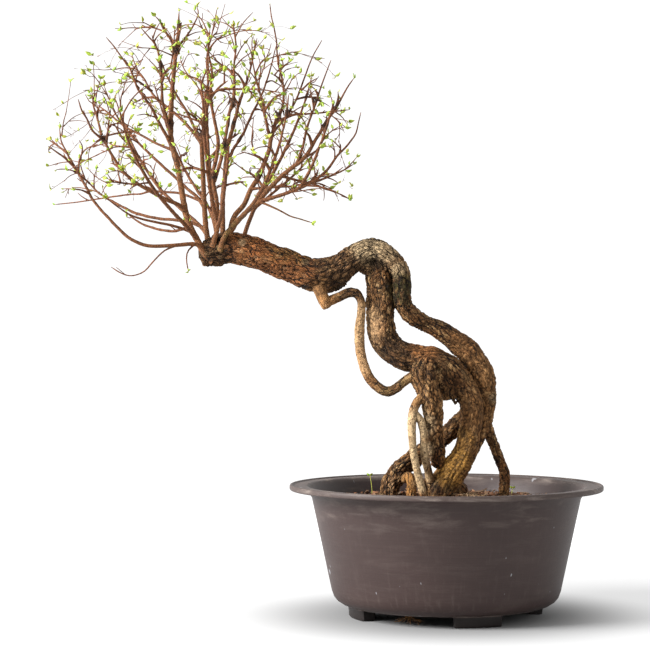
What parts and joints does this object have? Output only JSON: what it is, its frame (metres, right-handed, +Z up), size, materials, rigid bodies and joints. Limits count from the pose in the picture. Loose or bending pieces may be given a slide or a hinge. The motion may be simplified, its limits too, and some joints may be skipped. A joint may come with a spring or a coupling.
{
  "type": "chinese elm bonsai in a training pot",
  "caption": "Chinese elm bonsai with a leaning trunk on exposed, looping roots and a dome of fine leafy twigs, in a round plastic training pot.",
  "frame": {"origin": "on the floor, under the middle of the whole object's box; the pot stands to the right and the crown leans to the left", "axes": "+Z up, -Y the front that faces the viewer, +X from the crown towards the pot"},
  "size_m": [0.553, 0.313, 0.6189],
  "materials": {
    "pot_plastic": "satin",
    "soil": "matte",
    "bark": "matte",
    "shoot_bark": "satin",
    "young_leaf": "satin"
  },
  "bodies": {
    "root": {"pot": "pot_plastic", "soil": "soil", "trunk_and_roots": "bark", "shoot_1": "shoot_bark", "shoot_2": "shoot_bark", "shoot_3": "shoot_bark", "shoot_4": "shoot_bark", "shoot_5": "shoot_bark", "shoot_6": "shoot_bark", "shoot_7": "shoot_bark", "shoot_8": "shoot_bark", "shoot_9": "shoot_bark", "shoot_10": "shoot_bark", "seedling_1": "young_leaf", "seedling_2": "young_leaf"}
  },
  "joints": []
}
